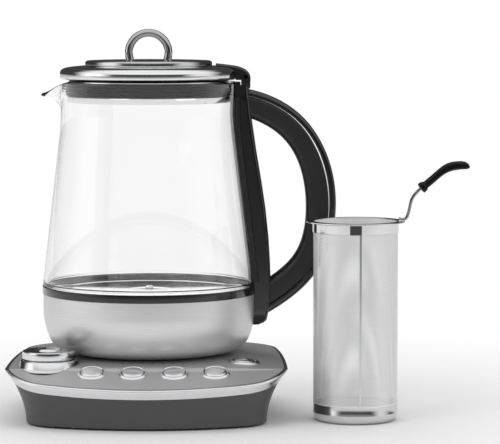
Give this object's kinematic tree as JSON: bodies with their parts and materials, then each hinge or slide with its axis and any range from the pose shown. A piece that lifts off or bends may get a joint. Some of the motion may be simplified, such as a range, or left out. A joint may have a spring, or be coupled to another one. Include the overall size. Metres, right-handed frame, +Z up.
{
  "type": "automatic tea maker",
  "caption": "Glass tea maker: kettle with hinged lid and D handle on an oval power base with knob and five buttons, and a loose wire-handled steel tea strainer.",
  "frame": {"origin": "on the kettle's upright axis at the level the rubber feet stand on", "axes": "+X towards the kettle's handle, -Y towards the user, +Z up"},
  "size_m": [0.3353, 0.2059, 0.2829],
  "materials": {
    "grey_shell": "satin",
    "black_plastic": "matt",
    "gloss_black": "gloss",
    "rubber_grey": "matt",
    "silicone": "satin",
    "brushed": "brushed",
    "plate_steel": "satin",
    "chrome": "polished",
    "glass": "clear",
    "board": "satin",
    "aluminium": "cast",
    "screw_steel": "machined",
    "light_lens": "gloss"
  },
  "bodies": {
    "base": {"base_housing": "grey_shell", "base_bottom_cover": "black_plastic", "base_feet": "rubber_grey", "base_screws": "screw_steel", "base_rim": "chrome", "base_top_plate": "plate_steel", "base_connector": "black_plastic", "cord_gland": "rubber_grey", "knob_dish": "chrome", "encoder": "aluminium", "bezel_1": "chrome", "bezel_2": "chrome", "bezel_3": "chrome", "bezel_4": "chrome", "bezel_5": "chrome", "switch_1": "gloss_black", "switch_2": "gloss_black", "switch_3": "gloss_black", "switch_4": "gloss_black", "switch_5": "gloss_black", "control_board": "board", "side_boards": "board", "indicator_lights": "light_lens"},
    "knob": {"knob": "chrome", "knob_inlay": "gloss_black", "encoder_shaft": "aluminium"},
    "knob_button": {"knob_button": "chrome"},
    "button_1": {"button_1": "chrome"},
    "button_2": {"button_2": "chrome"},
    "button_3": {"button_3": "chrome"},
    "button_4": {"button_4": "chrome"},
    "button_5": {"button_5": "chrome"},
    "kettle": {"steel_bowl": "brushed", "collar_ring": "gloss_black", "heating_plate": "brushed", "temperature_sensor": "brushed", "heating_element": "aluminium", "glass_seal": "silicone", "glass_body": "glass", "kettle_bottom_cover": "black_plastic", "kettle_connector": "black_plastic", "handle_strap": "gloss_black", "strap_backing": "silicone", "handle_grip": "black_plastic", "handle_trim": "gloss_black", "handle_screws": "screw_steel", "hinge_pin": "screw_steel"},
    "lid": {"lid_shell": "chrome", "lid_liner": "chrome", "lid_gasket": "silicone", "lid_hinge_cap": "gloss_black"},
    "cap": {"cap_cover": "chrome", "cap_seal": "silicone", "cap_loop": "chrome"},
    "strainer": {"strainer_rim": "chrome", "strainer_wall": "brushed", "strainer_cup": "brushed", "strainer_bracket": "chrome", "strainer_grip": "black_plastic"}
  },
  "joints": [
    {"name": "knob_turn", "type": "hinge", "parent": "base", "child": "knob", "pos_m": [-0.0703, -0.0595, 0.05], "axis": [0, 0, 1], "continuous": true},
    {"name": "knob_button_press", "type": "slide", "parent": "knob", "child": "knob_button", "axis": [0, 0, -1], "range_m": [0, 0.0012], "stiffness_N_per_m": 400},
    {"name": "button_1_press", "type": "slide", "parent": "base", "child": "button_1", "axis": [0, 0.309, -0.9511], "range_m": [0, 0.0012], "stiffness_N_per_m": 400},
    {"name": "button_2_press", "type": "slide", "parent": "base", "child": "button_2", "axis": [0, 0.309, -0.9511], "range_m": [0, 0.0012], "stiffness_N_per_m": 400},
    {"name": "button_3_press", "type": "slide", "parent": "base", "child": "button_3", "axis": [0, 0.309, -0.9511], "range_m": [0, 0.0012], "stiffness_N_per_m": 400},
    {"name": "button_4_press", "type": "slide", "parent": "base", "child": "button_4", "axis": [0, 0.309, -0.9511], "range_m": [0, 0.0012], "stiffness_N_per_m": 400},
    {"name": "button_5_press", "type": "slide", "parent": "base", "child": "button_5", "axis": [-0.0576, 0.0393, -0.9976], "range_m": [0, 0.0012], "stiffness_N_per_m": 400},
    {"name": "kettle_lift", "type": "slide", "parent": "base", "child": "kettle", "axis": [0, 0, 1], "range_m": [0, 0.1]},
    {"name": "lid_hinge", "type": "hinge", "parent": "kettle", "child": "lid", "pos_m": [0.0715, 0, 0.248], "axis": [0, 1, 0], "range_deg": [0, 80]},
    {"name": "cap_lift", "type": "slide", "parent": "lid", "child": "cap", "axis": [0, 0, 1], "range_m": [0, 0.05]},
    {"name": "strainer_lift", "type": "slide", "parent": "base", "child": "strainer", "axis": [0, 0, 1], "range_m": [0, 0.15]}
  ]
}
